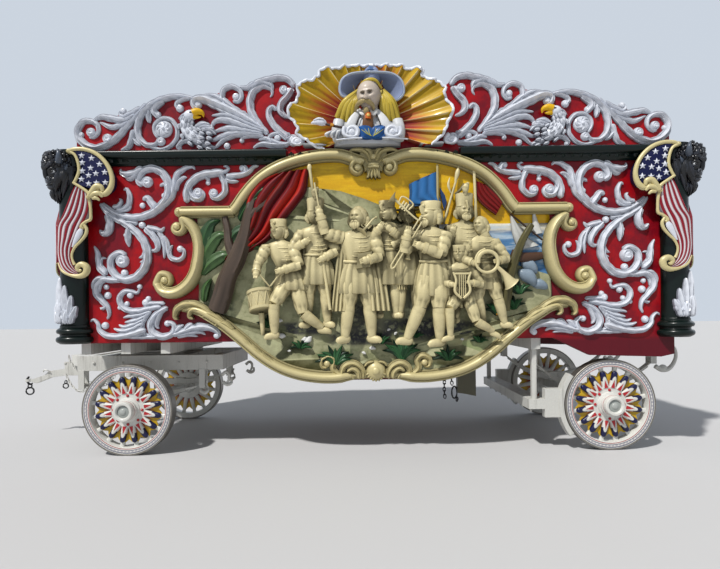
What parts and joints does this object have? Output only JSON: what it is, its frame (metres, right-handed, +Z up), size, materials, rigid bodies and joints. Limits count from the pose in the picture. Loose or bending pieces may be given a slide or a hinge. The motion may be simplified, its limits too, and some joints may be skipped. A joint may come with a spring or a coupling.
{
  "type": "horse-drawn circus bandwagon",
  "caption": "Carved and gilded parade wagon with a seating deck, baggage hold, steering front truck, sunburst wheels and rear doors.",
  "frame": {"origin": "on the ground, at the middle of the bounding box", "axes": "+X to the wagon's rear, +Y to its right side, +Z up"},
  "size_m": [7.7736, 2.6542, 4.027],
  "materials": {
    "crimson_wood": "gloss paint",
    "green_wood": "gloss paint",
    "deck_wood": "satin",
    "gold_carving": "gold bronze paint",
    "flag_carving": "gloss paint",
    "black_carving": "gloss paint",
    "shell_carving": "gloss paint",
    "white_carving": "gloss paint",
    "white_timber": "gloss paint",
    "white_wheel": "gloss paint",
    "white_iron": "gloss paint",
    "black_iron": "satin",
    "bare_steel": "worn"
  },
  "bodies": {
    "wagon": {"side_wall_left": "crimson_wood", "side_wall_right": "crimson_wood", "front_wall": "crimson_wood", "rear_wall": "crimson_wood", "skyboard_left": "crimson_wood", "skyboard_right": "crimson_wood", "cornice": "green_wood", "corner_columns": "green_wood", "hold_floor": "deck_wood", "seating_deck": "deck_wood", "band_benches": "deck_wood", "driver_seat": "deck_wood", "frame_arch_left": "gold_carving", "frame_arch_right": "gold_carving", "frame_belly_left": "gold_carving", "frame_belly_right": "gold_carving", "frame_scrolls_left": "gold_carving", "frame_scrolls_right": "gold_carving", "relief_left": "gold_carving", "relief_right": "gold_carving", "flag_drapes": "flag_carving", "bison_heads": "black_carving", "shell_left": "shell_carving", "shell_right": "shell_carving", "bust_left": "white_carving", "bust_right": "white_carving", "wall_carving_left": "white_carving", "wall_carving_right": "white_carving", "sky_carving_left": "white_carving", "sky_carving_right": "white_carving", "column_leaves": "white_carving", "cross_timbers": "white_timber", "brake_gear": "white_timber", "upper_fifth_wheel": "white_iron", "rear_axle": "white_iron", "rear_springs": "white_iron", "rear_hangers": "white_iron", "door_hinges": "black_iron"},
    "front_truck": {"truck_frame": "white_timber", "lower_fifth_wheel": "white_iron", "front_axle": "white_iron", "front_springs": "white_iron"},
    "drawbar": {"drawbar": "white_timber"},
    "wheel_front_left": {"wheel_front_left": "white_wheel", "tyre_front_left": "bare_steel"},
    "wheel_front_right": {"wheel_front_right": "white_wheel", "tyre_front_right": "bare_steel"},
    "wheel_rear_left": {"wheel_rear_left": "white_wheel", "tyre_rear_left": "bare_steel"},
    "wheel_rear_right": {"wheel_rear_right": "white_wheel", "tyre_rear_right": "bare_steel"},
    "rear_door_left": {"rear_door_left": "crimson_wood"},
    "rear_door_right": {"rear_door_right": "crimson_wood"}
  },
  "joints": [
    {"name": "steering", "type": "hinge", "parent": "wagon", "child": "front_truck", "pos_m": [-2.15282, 0, 1], "axis": [0, 0, 1], "range_deg": [-60, 60]},
    {"name": "drawbar_lift", "type": "hinge", "parent": "front_truck", "child": "drawbar", "pos_m": [-3.29983, 0, 0.8], "axis": [0, 1, 0], "range_deg": [0, 50]},
    {"name": "front_left_spin", "type": "hinge", "parent": "front_truck", "child": "wheel_front_left", "pos_m": [-2.15282, -0.935, 0.482], "axis": [0, 1, 0], "continuous": true},
    {"name": "front_right_spin", "type": "hinge", "parent": "front_truck", "child": "wheel_front_right", "pos_m": [-2.15282, 0.935, 0.482], "axis": [0, 1, 0], "continuous": true},
    {"name": "rear_left_spin", "type": "hinge", "parent": "wagon", "child": "wheel_rear_left", "pos_m": [2.97917, -0.935, 0.482], "axis": [0, 1, 0], "continuous": true},
    {"name": "rear_right_spin", "type": "hinge", "parent": "wagon", "child": "wheel_rear_right", "pos_m": [2.97917, 0.935, 0.482], "axis": [0, 1, 0], "continuous": true},
    {"name": "left_door_swing", "type": "hinge", "parent": "wagon", "child": "rear_door_left", "pos_m": [3.64618, -0.54, 1.945], "axis": [0, 0, -1], "range_deg": [0, 110]},
    {"name": "right_door_swing", "type": "hinge", "parent": "wagon", "child": "rear_door_right", "pos_m": [3.64618, 0.54, 1.945], "axis": [0, 0, 1], "range_deg": [0, 110]}
  ]
}
